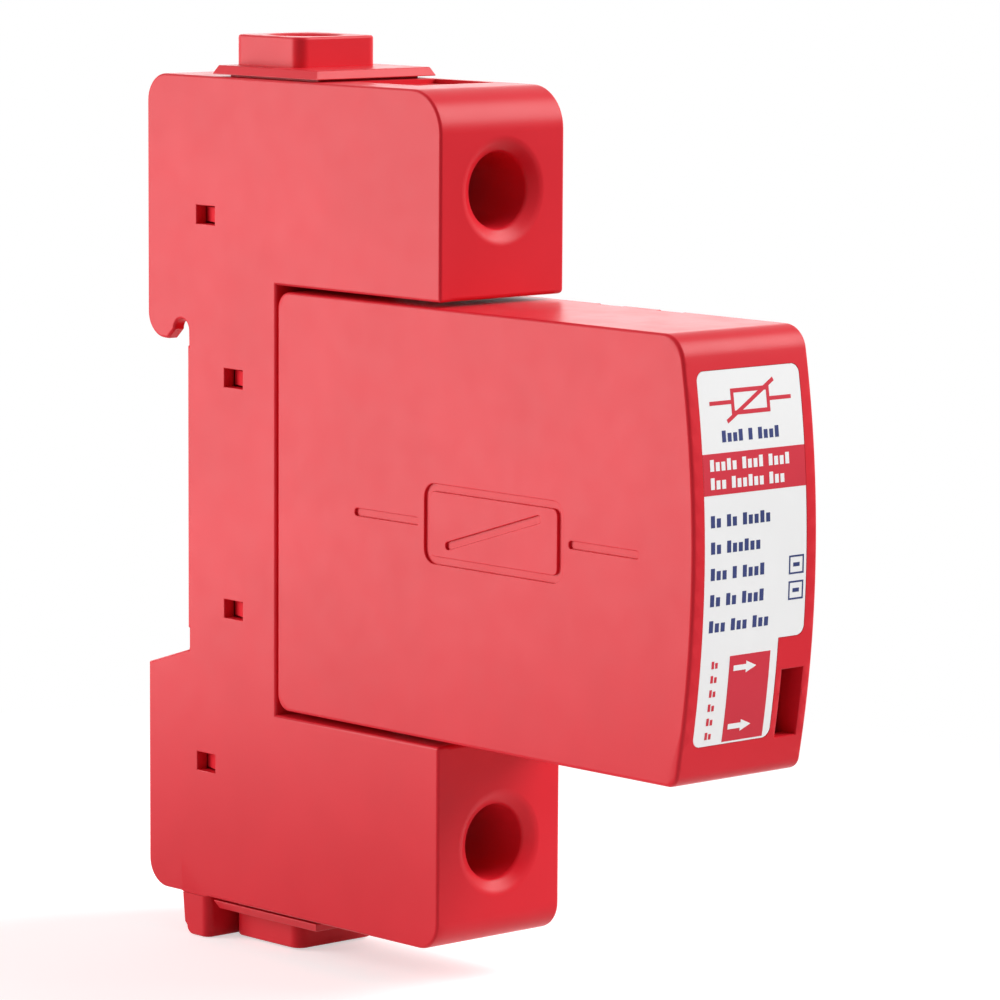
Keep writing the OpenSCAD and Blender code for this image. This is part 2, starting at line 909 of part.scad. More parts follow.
module upper_fork_rivets() {
  color(steel)
    fork_rivets();
}

module lower_fork_rivets() {
  color(steel)
    mirror([0, 0, 1])
      fork_rivets();
}

// Cuts the round between the curved front and the upper or lower edge
module crown_round(inset, r, s) {
  r_in = max(r - inset, least_r);
  z = cartridge_z - inset - r_in;
  reach = crown_r - inset - r_in;
  y = crown_y - sqrt(reach * reach - z * z);
  corner_cut([y, s * z], r_in, [0, s], [y - crown_y, s * z] / reach);
}

// Outline of the cartridge, seen from the side, set in all round by an inset
module cartridge_profile(inset) {
  rear = cartridge_rear - inset;
  rear_r_in = max(cartridge_rear_r - inset, least_r);
  z = cartridge_z - inset;
  difference() {
    intersection() {
      translate([-cartridge_d, -z])
        square([cartridge_d + rear, 2 * z]);
      translate([crown_y, 0])
        circle(crown_r - inset, $fn = crown_fn);
    }
    crown_round(inset, crown_top_r, 1);
    crown_round(inset, crown_low_r, -1);
    for (s = [-1, 1])
      corner_cut([rear - rear_r_in, s * (z - rear_r_in)], rear_r_in, [1, 0], [0, s]);
  }
}

// Outline of the label, stepped in beside the status window, grown by a gap
module label_outline(gap) {
  right = label_w / 2 + gap;
  low = -label_low - gap;
  step_x = label_step_x + gap;
  step_z = -label_step_z - gap;
  difference() {
    translate([0, (label_top - label_low) / 2])
      round_rect(label_w + 2 * gap, label_top + label_low + 2 * gap, label_r);
    translate([step_x, low - over])
      square([right - step_x + over, step_z - low + over]);
    corner_cut([right - label_r, step_z + label_r], label_r, [1, 0], [0, -1]);
    corner_cut([step_x - label_r, low + label_r], label_r, [1, 0], [0, -1]);
  }
}

// A skin of the curved front between two depths, over the label's outline
module label_skin(near, deep, gap) {
  intersection() {
    across(-half_w, module_w)
      translate([crown_y, 0])
        difference() {
          circle(crown_r - near, $fn = crown_fn);
          circle(crown_r - deep, $fn = crown_fn);
        }
    forward(-cartridge_d + shell_t + crown_top_r, shell_t + crown_top_r + over)
      label_outline(gap);
  }
}

module cartridge_housing() {
  color(red)
    difference() {
      across(-half_w, module_w)
        cartridge_profile(0);
      across(shell_left, module_w)
        cartridge_profile(shell_t);
      across(lid_in, module_w)
        cartridge_profile(rim_t);
      forward(flag_front, flag_front + cartridge_d + over)
        translate([status_x, -status_z])
          square([status_w, status_h], center = true);
      label_skin(-over, label_t, seat_gap);
      for (y = [first_tab_y, second_tab_y], s = [-1, 1])
        translate([tab_x - lid_gap, -y - tab_l / 2 - lid_gap, s * cartridge_z - rim_t - lid_gap])
          cube([lid_t, tab_l + 2 * lid_gap, 2 * (rim_t + lid_gap)]);
      both_ends()
        box(
          [-blade_t / 2 - snap_gap, shell_rear - over, blade_low - snap_gap],
          [blade_t / 2 + snap_gap, cartridge_rear + over, blade_edge + snap_gap]
        );
    }
}

module cartridge_lid() {
  color(red) {
    across(lid_in, lid_t)
      cartridge_profile(lid_inset);
    for (y = [first_tab_y, second_tab_y])
      both_ends()
        box(
          [tab_x, -y - tab_l / 2, cartridge_z - lid_inset - sink],
          [half_w, -y + tab_l / 2, tab_z]
        );
  }
}

module front_label() {
  color(white)
    label_skin(0, label_t - seat_gap, 0);
}

// Flag, its spring shelf and the arm that the disconnector holds back
module status_flag() {
  color(flag_red) {
    box([flag_x, flag_front, flag_low], [flag_x + flag_w, flag_back, flag_top]);
    box([flag_x, flag_back - sink, shelf_low], [flag_x + flag_w, shelf_back, flag_top]);
    box(
      [flag_arm_x, shelf_back - sink, flag_top - flag_arm_h],
      [flag_arm_x + flag_arm_t, flag_arm_back, flag_top]
    );
    box(
      [flag_arm_x, flag_arm_back - finger_l, flag_top - sink],
      [flag_arm_x + flag_arm_t, flag_arm_back, flag_top + finger_h]
    );
  }
}

module flag_spring() {
  length = shelf_low - floor_z;
  color(steel)
    coil(flag_mid, flag_spring_y, floor_z + seat_gap, length - 2 * seat_gap, flag_spring_r, flag_turns);
}

module indicator_plate() {
  color(green)
    box(
      [flag_x, indicator_front, floor_z],
      [flag_x + flag_w, indicator_back, shelf_low - flag_gap]
    );
}

module varistor_block() {
  color(coating)
    across(varistor_x, varistor_t)
      translate([varistor_mid, 0])
        round_rect(varistor_w, varistor_w, varistor_r);
}

// Square plate that lies on one face of the varistor
module electrode(x) {
  across(x, electrode_t)
    translate([varistor_mid, 0])
      square(electrode_w, center = true);
}

module left_electrode() {
  color(brass) {
    electrode(left_x);
    box(
      [left_x, electrode_rear - sink, -blade_edge],
      [left_x + electrode_t, blade_foot_rear, -blade_low]
    );
  }
}

module right_electrode() {
  color(brass)
    electrode(right_x);
}

// A blade with a bevelled tip and a foot that reaches to x_foot inside the cartridge
module plug_blade(x_foot) {
  side = sign(x_foot) * blade_t / 2;
  tip = cartridge_rear + blade_l;
  linear_extrude(blade_h)
    polygon([
      [-side, blade_foot_front], [x_foot, blade_foot_front], [x_foot, blade_foot_rear],
      [side, blade_foot_rear], [side, tip - blade_tip], [side / 2, tip], [-side / 2, tip],
      [-side, tip - blade_tip]
    ]);
}

module upper_plug_blade() {
  color(copper)
    translate([0, 0, blade_low])
      plug_blade(tongue_x);
}

module lower_plug_blade() {
  color(copper)
    translate([0, 0, -blade_edge])
      plug_blade(varistor_x);
}

module disconnect_tongue() {
  color(copper)
    box(
      [tongue_x, tongue_tip, solder_z - tongue_h / 2],
      [tongue_x + tongue_t, blade_foot_rear, solder_z + tongue_h / 2]
    );
}

module solder_joint() {
  color(steel)
    translate([solder_x, solder_y, solder_z])
      rotate([0, 90, 0])
        cylinder(r = solder_r, h = solder_t);
}

base_housing();
base_cover();
rail_latch();
latch_spring();
upper_cable_collar();
lower_cable_collar();
upper_terminal_cage();
lower_terminal_cage();
upper_terminal_screw();
lower_terminal_screw();
upper_terminal_bar();
lower_terminal_bar();
upper_contact_fork();
lower_contact_fork();
upper_fork_rivets();
lower_fork_rivets();
cartridge_housing();
cartridge_lid();
front_label();
status_flag();
flag_spring();
indicator_plate();
varistor_block();
left_electrode();
right_electrode();
upper_plug_blade();
lower_plug_blade();
disconnect_tongue();
solder_joint();
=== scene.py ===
"""Plug-in surge arrester for a DIN rail: its finished pieces, their looks and the studio."""

import math

import bmesh
import bpy
from mathutils import Matrix, Vector


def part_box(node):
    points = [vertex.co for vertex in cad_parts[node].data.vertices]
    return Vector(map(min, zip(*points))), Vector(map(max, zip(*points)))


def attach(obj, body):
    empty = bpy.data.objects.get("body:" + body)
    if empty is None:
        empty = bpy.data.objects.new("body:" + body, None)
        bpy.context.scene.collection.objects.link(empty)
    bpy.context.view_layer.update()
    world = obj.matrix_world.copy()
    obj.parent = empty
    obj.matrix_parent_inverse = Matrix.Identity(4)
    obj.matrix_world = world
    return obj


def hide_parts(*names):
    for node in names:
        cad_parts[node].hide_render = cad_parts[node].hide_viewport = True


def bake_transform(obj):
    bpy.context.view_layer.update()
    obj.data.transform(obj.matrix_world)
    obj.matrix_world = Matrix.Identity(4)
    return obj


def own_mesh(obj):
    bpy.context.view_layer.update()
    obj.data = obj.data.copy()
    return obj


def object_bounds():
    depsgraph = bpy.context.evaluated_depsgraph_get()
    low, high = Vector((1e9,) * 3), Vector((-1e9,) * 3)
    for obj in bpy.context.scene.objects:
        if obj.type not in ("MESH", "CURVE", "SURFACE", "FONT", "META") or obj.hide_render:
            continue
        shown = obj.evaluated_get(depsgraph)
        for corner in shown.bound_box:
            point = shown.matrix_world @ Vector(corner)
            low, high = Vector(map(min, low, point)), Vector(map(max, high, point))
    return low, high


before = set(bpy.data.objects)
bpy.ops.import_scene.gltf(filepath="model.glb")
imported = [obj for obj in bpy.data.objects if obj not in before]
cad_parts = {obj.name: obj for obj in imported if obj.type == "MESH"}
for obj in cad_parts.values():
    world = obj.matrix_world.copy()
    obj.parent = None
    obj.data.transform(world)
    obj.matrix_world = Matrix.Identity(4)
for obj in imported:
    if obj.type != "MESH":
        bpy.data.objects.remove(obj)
cad_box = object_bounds()


# Base housing
# One injection moulding in satin red polyamide: the right side wall, both terminal towers and
# the screwdriver tubes. The mould leaves a small round on every outer edge.
MM = 0.001
near = 0.02 * MM
weld = 0.0005 * MM
flat_turn = math.radians(0.05)
corner_turn = math.radians(25)
sharp_turn = math.radians(38)
# Blender's layer of face strengths for weighted normals, and its value for a weak face
strength_layer = "__mod_weightednormals_faceweight"
weak_face = -16384
edge_round = 0.34 * MM
right_round = 0.5 * MM
slot_edge = 23.2 * MM
funnel_reach = 5.6 * MM
funnel_depth = 0.9 * MM
funnel_round = 0.45 * MM
bore_reach = 4.2 * MM
bore_round = 0.3 * MM
red_deep = (0.68, 0.014, 0.026)
red_light = (0.73, 0.018, 0.032)
noise_range = (0.3, 0.7)
shade_range = (0.35, 0.65)
flow_grain = 16 * MM
wear_grain = 3 * MM
wear_spread = 0.02
spark_grain = 0.16 * MM
spark_depth = 0.01 * MM
spark_strength = 0.3


def finish_nodes(name):
    """A new material with its node tree and its surface shader."""
    finish = bpy.data.materials.new(name)
    finish.use_nodes = True
    return finish, finish.node_tree, finish.node_tree.nodes["Principled BSDF"]


def speckle(tree, grain, detail=2.0, stretch=(1, 1, 1)):
    """Noise on the piece's own coordinates, in grains of about the size given."""
    place = tree.nodes.new("ShaderNodeTexCoord")
    turn = tree.nodes.new("ShaderNodeMapping")
    noise = tree.nodes.new("ShaderNodeTexNoise")
    turn.inputs["Scale"].default_value = stretch
    noise.inputs["Scale"].default_value = 1 / grain
    noise.inputs["Detail"].default_value = detail
    tree.links.new(place.outputs["Object"], turn.inputs["Vector"])
    tree.links.new(turn.outputs["Vector"], noise.inputs["Vector"])
    return noise.outputs["Fac"]


def spread(tree, value, low, high, span=noise_range):
    """Takes a noise, or another value within a span, over the range from low to high."""
    reach = tree.nodes.new("ShaderNodeMapRange")
    reach.inputs["From Min"].default_value = span[0]
    reach.inputs["From Max"].default_value = span[1]
    reach.inputs["To Min"].default_value = low
    reach.inputs["To Max"].default_value = high
    tree.links.new(value, reach.inputs["Value"])
    return reach.outputs["Result"]


def shades(tree, noise, first, second):
    """Two shades of one colour, mixed by a noise."""
    ramp = tree.nodes.new("ShaderNodeValToRGB")
    for stop, position, shade in zip(ramp.color_ramp.elements, shade_range, (first, second)):
        stop.position = position
        stop.color = (*shade, 1)
    tree.links.new(noise, ramp.inputs["Fac"])
    return ramp.outputs["Color"]


def relief(tree, noise, depth, strength):
    """Turns a noise into a fine relief of the surface."""
    bump = tree.nodes.new("ShaderNodeBump")
    bump.inputs["Distance"].default_value = depth
    bump.inputs["Strength"].default_value = strength
    tree.links.new(noise, bump.inputs["Height"])
    return bump.outputs["Normal"]


def moulded_plastic(name, first, second, rough, gloss):
    """Satin plastic from a spark-eroded mould, with faint flow shades."""
    finish, tree, shader = finish_nodes(name)
    flow = shades(tree, speckle(tree, flow_grain), first, second)
    touched = speckle(tree, wear_grain, detail=4.0)
    wear = spread(tree, touched, rough - wear_spread, rough + wear_spread)
    spark = relief(tree, speckle(tree, spark_grain), spark_depth, spark_strength)
    tree.links.new(flow, shader.inputs["Base Color"])
    tree.links.new(wear, shader.inputs["Roughness"])
    tree.links.new(spark, shader.inputs["Normal"])
    shader.inputs["Specular IOR Level"].default_value = gloss
    return finish


def welded_copy(node):
    """A node's own mesh with its loose triangles welded and its flat faces made whole."""
    bm = bmesh.new()
    bm.from_mesh(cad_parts[node].data)
    bm.faces.layers.int.new(strength_layer)
    bmesh.ops.remove_doubles(bm, verts=bm.verts, dist=weld)
    bmesh.ops.dissolve_limit(bm, angle_limit=flat_turn, verts=bm.verts, edges=bm.edges)
    return bm


def at(value, wanted):
    """True where a coordinate lies on a plane."""
    return abs(value - wanted) < near


def corners(bm, chosen):
    """Edges where the surface turns a corner, with both ends in a chosen place."""
    turned = [e for e in bm.edges if e.is_manifold and e.calc_face_angle() > corner_turn]
    return [e for e in turned if all(chosen(v.co) for v in e.verts)]


def round_off(bm, edges, radius, segments=3):
    """Rounds edges as a mould or a tumbling barrel does. The flats lead the shading."""
    made = bmesh.ops.bevel(
        bm,
        geom=list(dict.fromkeys(edges)),
        offset=radius,
        offset_type="OFFSET",
        affect="EDGES",
        segments=segments,
        profile=0.5,
        material=-1,
        clamp_overlap=False,
    )
    for f in made["faces"]:
        f[bm.faces.layers.int[strength_layer]] = weak_face


def finished(name, bm, finish, body, slot, *nodes):
    """Makes a piece that stands for the nodes named, and rides on a body if one is given."""
    mesh = bpy.data.meshes.new(name)
    bm.to_mesh(mesh)
    bm.free()
    stored = mesh.attributes.get("custom_normal")
    if stored:
        mesh.attributes.remove(stored)
    mesh.shade_smooth()
    mesh.set_sharp_from_angle(angle=sharp_turn)
    mesh.materials.clear()
    mesh.materials.append(finish)
    piece = bpy.data.objects.new(name, mesh)
    bpy.context.scene.collection.objects.link(piece)
    even = piece.modifiers.new("even_faces", "WEIGHTED_NORMAL")
    even.keep_sharp = True
    even.use_face_influence = True
    if body:
        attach(piece, body)
    if nodes:
        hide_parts(*nodes)
    return piece


def keep_flat(piece, chosen):
    """Keeps the shading of a flat apart from the rounds that meet it."""
    points = piece.data.vertices
    for e in piece.data.edges:
        if all(chosen(points[v].co) for v in e.vertices):
            e.use_edge_sharp = True


red_plastic = moulded_plastic("red_plastic", red_deep, red_light, rough=0.36, gloss=0.2)

housing_low, housing_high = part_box("base_housing")
tower_front = housing_low.y
tunnel_mouth = tower_front + funnel_depth
cover_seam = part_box("base_cover")[1].x
screw_low, screw_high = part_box("upper_terminal_screw")
screw_height = (screw_low.z + screw_high.z) / 2


def from_screw(p):
    """Distance of a point from the nearer screw's axis."""
    return math.hypot(p.x, abs(p.z) - screw_height)


def on_slot_edge(p):
    """On the edge between a tower's front and the cartridge's slot."""
    return at(p.y, tower_front) and at(abs(p.z), slot_edge)


housing = welded_copy("base_housing")
right_outline = corners(housing, lambda p: at(p.x, housing_high.x))
slot_edges = corners(housing, on_slot_edge)
round_off(housing, right_outline + slot_edges, right_round, segments=4)
funnels = corners(housing, lambda p: at(p.y, tower_front) and from_screw(p) < funnel_reach)
round_off(housing, funnels, funnel_round)
bores = corners(housing, lambda p: at(p.y, tunnel_mouth) and from_screw(p) < bore_reach)
round_off(housing, bores, bore_round)
moulding = finished(
    "housing_moulding", housing, red_plastic, "base", "red_plastic", "base_housing"
)
keep_flat(moulding, lambda p: at(p.x, cover_seam))


# Base cover
# The left side plate, moulded in the same plastic and snapped on: four nibs of the housing
# show in its windows. Its lower edge runs on into the latch foot without a step.
snap_windows = ((-3.2 * MM, 30 * MM), (-7.9 * MM, 12.6 * MM))
window_reach = 2.2 * MM
window_round = 0.12 * MM
cover_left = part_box("base_cover")[0].x
foot_low, foot_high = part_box("rail_latch")
foot_front = foot_low.y
foot_rear = 1.1 * MM


def in_window(p):
    """Within one of the snap windows."""
    return any(math.hypot(p.y - y, abs(p.z) - z) < window_reach for y, z in snap_windows)


def over_foot(p):
    """On the stretch of the lower edge that the latch foot continues."""
    return at(p.z, housing_low.z) and foot_front - near < p.y < foot_high.y


cover = welded_copy("base_cover")
for cut_y in (foot_front, foot_rear):
    bmesh.ops.bisect_plane(
        cover,
        geom=[*cover.verts, *cover.edges, *cover.faces],
        plane_co=(0, cut_y, 0),
        plane_no=(0, 1, 0),
    )
left_outline = corners(cover, lambda p: at(p.x, cover_left) and not in_window(p))
left_outline = [e for e in left_outline if not all(over_foot(v.co) for v in e.verts)]
slot_edges = corners(cover, on_slot_edge)
round_off(cover, left_outline + slot_edges, edge_round)
window_edges = corners(cover, lambda p: at(p.x, cover_left) and in_window(p))
round_off(cover, window_edges, window_round, segments=2)
finished("cover_plate", cover, red_plastic, "base", "red_plastic", "base_cover")


# Cable collars
# A flange with sloping edges and a hollow block, moulded in one, whose plug is pressed into
# each cable opening. The block keeps the cable's sheath away from the wall.
block_round = 0.3 * MM
flange_round = 0.1 * MM
flange_edge = 45.25 * MM
flange_top = 46.2 * MM
block_reach = 5.9 * MM
block_front = -15.4 * MM

for collar_node, end in (("upper_cable_collar", 1), ("lower_cable_collar", -1)):
    collar = welded_copy(collar_node)
    block_top = max(end * p.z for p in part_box(collar_node))
    rims = corners(collar, lambda p: at(end * p.z, block_top))
    round_off(collar, rims, block_round)
    flange_edges = corners(collar, lambda p: at(end * p.z, flange_edge))
    flange_edges += corners(
        collar,
        lambda p: at(end * p.z, flange_top) and (abs(p.x) > block_reach or p.y < block_front),
    )
    round_off(collar, flange_edges, flange_round, segments=2)
    finished(collar_node + "_moulding", collar, red_plastic, "base", "red_plastic", collar_node)


# Rail latch
# A red sliding bar in the lower guide. Its nose grips the rail's lower edge, and a foot as wide
# as the module lets a thumb or a screwdriver pull it down.
seam_clear = 0.5 * MM


def on_foot(p):
    """On the lower face or a side of the foot, clear of its seam with the base."""
    outside = at(p.z, foot_low.z) or at(abs(p.x), foot_high.x)
    return outside and p.z < housing_low.z - seam_clear


latch = welded_copy("rail_latch")
round_off(latch, corners(latch, on_foot), edge_round)
finished("latch_moulding", latch, red_plastic, "latch", "red_plastic", "rail_latch")


# Latch spring
# Cold-coiled from spring steel wire, with one closed turn at each end. It sits in the slot of
# the bar, between its upper end and a lug of the housing, and drives the nose up.
wire_r = 0.25 * MM
wire_sides = 10
wire_grain = 0.2 * MM
turn_steps = 28
closed_pitch = 2.1 * wire_r
latch_turns = 7
steel_dark = (0.30, 0.30, 0.31)
steel_light = (0.44, 0.44, 0.45)
tint_grain = 5 * MM
line_spread = 0.07
line_depth = 0.008 * MM
line_strength = 0.35


def rolled_metal(name, first, second, rough, grain, stretch=(1, 1, 1)):
    """Bare or plated metal with the fine drawn lines of its sheet, bar or wire."""
    finish, tree, shader = finish_nodes(name)
    lines = speckle(tree, grain, detail=4.0, stretch=stretch)
    tint = shades(tree, speckle(tree, tint_grain, detail=3.0), first, second)
    wear = spread(tree, lines, rough - line_spread, rough + line_spread)
    drawn = relief(tree, lines, line_depth, line_strength)
    tree.links.new(tint, shader.inputs["Base Color"])
    tree.links.new(wear, shader.inputs["Roughness"])
    tree.links.new(drawn, shader.inputs["Normal"])
    shader.inputs["Metallic"].default_value = 1
    return finish


def coil_spring(node, turns):
    """Winds a wire inside a spring node's box, with a closed turn at each end."""
    low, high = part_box(node)
    middle = (low + high) / 2
    reach = (high.x - low.x) / 2 - wire_r
    closed = closed_pitch / turn_steps
    active = turns - 2
    rise = high.z - low.z - 2 * wire_r - 2 * closed * turn_steps
    open_step = rise / (active * turn_steps)
    bm = bmesh.new()
    ring = bmesh.ops.create_circle(bm, radius=wire_r, segments=wire_sides)["verts"]
    stand = Matrix.Rotation(math.radians(90), 4, "X")
    start = Vector((middle.x + reach, middle.y, low.z + wire_r))
    bmesh.ops.transform(bm, matrix=Matrix.Translation(start) @ stand, verts=ring)
    end = [*ring, *bm.edges]
    for length, step in ((1, closed), (active, open_step), (1, closed)):
        wound = bmesh.ops.spin(
            bm,
            geom=end,
            cent=middle,
            axis=(0, 0, 1),
            dvec=(0, 0, step),
            angle=2 * math.pi * length,
            steps=length * turn_steps,
        )
        end = wound["geom_last"]
    bmesh.ops.holes_fill(bm, edges=bm.edges, sides=wire_sides)
    bmesh.ops.recalc_face_normals(bm, faces=bm.faces)
    return bm


spring_steel = rolled_metal("spring_steel", steel_dark, steel_light, rough=0.33, grain=wire_grain)
latch_coil = finished(
    "latch_coil",
    coil_spring("latch_spring", latch_turns),
    spring_steel,
    "base",
    "spring_steel",
    "latch_spring",
)
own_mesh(latch_coil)


# Terminal bars, contact forks and rivets
# A cranked copper bar leads from each clamp to the contact behind the cartridge. The brass fork
# that grips the cartridge's blade is riveted to it with two steel rivets.
sheet_round = 0.14 * MM
sheet_grain = 0.15 * MM
along_bar = (1, 0.2, 0.08)
rivet_round = 0.4 * MM
copper_dark = (0.66, 0.33, 0.20)
copper_light = (0.80, 0.44, 0.29)
brass_dark = (0.68, 0.50, 0.24)
brass_light = (0.80, 0.62, 0.33)
zinc_dark = (0.60, 0.61, 0.63)
zinc_light = (0.72, 0.73, 0.74)
zinc_grain = 0.3 * MM
copper = rolled_metal(
    "copper", copper_dark, copper_light, rough=0.32, grain=sheet_grain, stretch=along_bar
)
fork_brass = rolled_metal(
    "fork_brass", brass_dark, brass_light, rough=0.3, grain=sheet_grain, stretch=along_bar
)
zinc_steel = rolled_metal("zinc_steel", zinc_dark, zinc_light, rough=0.36, grain=zinc_grain)


def tumbled(node, finish, body, slot, radius=sheet_round, segments=2):
    """A stamped or moulded piece with all its corners broken, as after tumbling."""
    bm = welded_copy(node)
    round_off(bm, corners(bm, lambda p: True), radius, segments)
    return finished(node + "_tumbled", bm, finish, body, slot, node)


for side in ("upper", "lower"):
    tumbled(side + "_terminal_bar", copper, "base", "copper")
    tumbled(side + "_contact_fork", fork_brass, "base", "fork_brass")
    rivet_node = side + "_fork_rivets"
    rivets = welded_copy(rivet_node)
    head_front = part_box(rivet_node)[1].y
    round_off(rivets, corners(rivets, lambda p: at(p.y, head_front)), rivet_round, segments=4)
    finished(rivet_node + "_headed", rivets, zinc_steel, "base", "zinc_steel", rivet_node)


# Terminal cages
# Folded from zinc-plated steel strip round the bar, with a threaded front wall. The screw draws
# the cage forward and clamps the wire against the bar.
for side in ("upper", "lower"):
    tumbled(side + "_terminal_cage", zinc_steel, side + "_cage", "zinc_steel")


# Terminal screws
# Zinc-plated steel with a cross slot in a round head and a rolled thread of 0.8 mm pitch. The
# head is kept between the tower's inner tube and the chamber, so the screw turns in place.
thread_pitch = 0.8 * MM
thread_core = 2.02 * MM
thread_crest = 2.45 * MM
thread_foot = 1.9 * MM
thread_flank = 0.46 * thread_pitch
thread_land = 0.08 * thread_pitch
thread_steps = 40
screw_sides = 48
head_height = 3 * MM
head_round = 0.45 * MM
shank_kept = 0.1 * MM


def rolled_thread(bm, start_y, end_y, height):
    """A core with a helical ridge along Y, about a screw's axis."""
    length = end_y - start_y
    turns = int((length - thread_pitch) / thread_pitch)
    lie = Matrix.Rotation(math.radians(90), 4, "X")
    middle = Matrix.Translation((0, (start_y + end_y) / 2, height))
    bmesh.ops.create_cone(
        bm,
        cap_ends=True,
        segments=screw_sides,
        radius1=thread_core,
        radius2=thread_core,
        depth=length,
        matrix=middle @ lie,
    )
    ridge = (
        (thread_foot, -thread_flank),
        (thread_crest, -thread_land),
        (thread_crest, thread_land),
        (thread_foot, thread_flank),
    )
    profile = [bm.verts.new((r, start_y + thread_pitch / 2 + y, height)) for r, y in ridge]
    face = bm.faces.new(profile)
    bmesh.ops.spin(
        bm,
        geom=[*profile, *face.edges, face],
        cent=(0, 0, height),
        axis=(0, 1, 0),
        dvec=(0, thread_pitch / thread_steps, 0),
        angle=2 * math.pi * turns,
        steps=turns * thread_steps,
    )


for side in ("upper", "lower"):
    screw_node = side + "_terminal_screw"
    screw_low, screw_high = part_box(screw_node)
    axis_height = (screw_low.z + screw_high.z) / 2
    under_head = screw_low.y + head_height
    screw = welded_copy(screw_node)
    bmesh.ops.bisect_plane(
        screw,
        geom=[*screw.verts, *screw.edges, *screw.faces],
        plane_co=(0, under_head + shank_kept, 0),
        plane_no=(0, 1, 0),
        clear_outer=True,
    )
    bmesh.ops.holes_fill(screw, edges=screw.edges)
    head_reach = (screw_high.x - screw_low.x) / 2 - near
    head_rim = corners(screw, lambda p: math.hypot(p.x, p.z - axis_height) > head_reach)
    round_off(screw, head_rim, head_round)
    rolled_thread(screw, under_head, screw_high.y, axis_height)
    bmesh.ops.recalc_face_normals(screw, faces=screw.faces)
    finished(
        screw_node + "_threaded", screw, zinc_steel, side + "_screw", "zinc_steel", screw_node
    )


# Cartridge housing
# The plug-in half, moulded in the same red as the base and open on its right side. Its front is
# gently curved, with a shallow bed for the label and a small window for the status flag.
cartridge_round = 0.4 * MM
rim_width = 1.0 * MM
rim_slack = 0.05 * MM
crown_r = 115 * MM
crown_span = (-21.39 * MM, 20.3 * MM)
crown_slack = 0.4 * MM
crown_strip = 0.65 * MM
label_bed = 0.2 * MM
status_x = 6 * MM
status_z = -15.3 * MM
status_reach = (1.6 * MM, 3.6 * MM)
status_round = 0.15 * MM
symbol_middle = -49.5 * MM
symbol_height = 0.2 * MM
block_length = 21 * MM
block_width = 8.4 * MM
block_corner = 1.5 * MM
lead_length = 11 * MM
lead_gap = 0.9 * MM
slant_length = 15 * MM
slant_lean = math.radians(-17)
groove_width = 0.8 * MM
groove_corner = 0.35 * MM
groove_depth = 0.28 * MM
groove_round = 0.09 * MM
symbol_reach = block_length / 2 + lead_length + lead_gap
cart_low, cart_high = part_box("cartridge_housing")
crown_axis = cart_low.y + crown_r


def from_crown(p):
    """Distance of a point in front of the curved front, less than 0 inside it."""
    return math.hypot(p.y - crown_axis, p.z) - crown_r


def past_rim(p):
    """Outside the rim that the lid is set in."""
    inside = rim_width - rim_slack
    at_end = abs(p.z) > cart_high.z - inside or p.y > cart_high.y - inside
    return at_end or from_crown(p) > -inside


def on_engraving(p):
    """On the flat of the left side, within the place of the engraved symbol."""
    within = abs(p.y - symbol_middle) < symbol_reach and abs(p.z - symbol_height) < block_width
    return within and at(p.x, cart_low.x)


def on_status_window(p):
    """On the mouth of the status window."""
    within = abs(p.x - status_x) < status_reach[0] and abs(p.z - status_z) < status_reach[1]
    return within and from_crown(p) > -near


def on_crown(p):
    """On the curved front, or within the slack of its facets."""
    return crown_span[0] <= p.z <= crown_span[1] and from_crown(p) > -crown_slack


def fair_crown(bm, *depths):
    """Cuts the coarse facets of the curved front into strips that lie on its true curve."""
    left = min(v.co.x for v in bm.verts)
    ends = sorted(v.co.z for v in bm.verts if at(v.co.x, left) and on_crown(v.co))
    for low, high in zip(ends, ends[1:]):
        strips = round((high - low) / crown_strip)
        for strip in range(1, strips):
            height = low + (high - low) * strip / strips
            facets = [f for f in bm.faces if all(on_crown(v.co) for v in f.verts)]
            edges = {e for f in facets for e in f.edges}
            points = {v for e in edges for v in e.verts}
            bmesh.ops.bisect_plane(
                bm, geom=[*points, *edges, *facets], plane_co=(0, 0, height), plane_no=(0, 0, 1)
            )
    for v in bm.verts:
        if on_crown(v.co):
            depth = min(depths, key=lambda d: abs(d + from_crown(v.co)))
            v.co.y = crown_axis - math.sqrt((crown_r - depth) ** 2 - v.co.z**2)


def side_panel(bm, middle, length, width, corner, lean=0):
    """A flat panel with round corners on the left side, and its one face."""
    known = set(bm.faces)
    panel = bmesh.ops.create_grid(bm, x_segments=1, y_segments=1, size=0.5)["verts"]
    size = Matrix.Diagonal((width, length, 1, 1))
    stand = Matrix.Rotation(math.radians(-90), 4, "Y")
    tilt = Matrix.Rotation(lean, 4, "X")
    place = Matrix.Translation((cart_low.x, middle, symbol_height))
    bmesh.ops.transform(bm, matrix=place @ tilt @ stand @ size, verts=panel)
    bmesh.ops.bevel(
        bm, geom=panel, offset=corner, affect="VERTICES", segments=5, profile=0.5, material=-1
    )
    return next(f for f in bm.faces if f not in known)


def fill_round(bm, edges):
    """Fills the left side's plane between outlines."""
    made = bmesh.ops.triangle_fill(bm, edges=edges, normal=(-1, 0, 0), use_beauty=True)["geom"]
    for f in made:
        if isinstance(f, bmesh.types.BMFace) and f.normal.x > 0:
            f.normal_flip()


